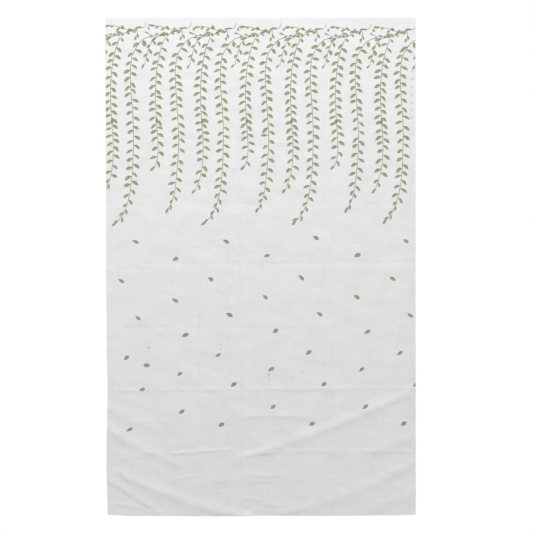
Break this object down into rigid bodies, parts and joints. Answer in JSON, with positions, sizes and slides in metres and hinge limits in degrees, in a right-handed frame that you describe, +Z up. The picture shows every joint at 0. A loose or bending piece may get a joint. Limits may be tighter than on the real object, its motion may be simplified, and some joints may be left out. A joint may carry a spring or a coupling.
{
  "type": "sheer voile curtain",
  "caption": "Flat hanging sheer white curtain panel with narrow hems, packing creases, soft swags at its foot and a print of leafy vines above scattered leaves.",
  "frame": {"origin": "middle of the top edge", "axes": "+Z up, +X to the right as seen from the front, and the front of the cloth faces -Y"},
  "size_m": [1.4, 0.0278, 2.2505],
  "materials": {
    "voile": "matte sheer plain weave, white, with a printed border of green leaves"
  },
  "bodies": {
    "root": {"voile_panel": "voile"}
  },
  "joints": []
}
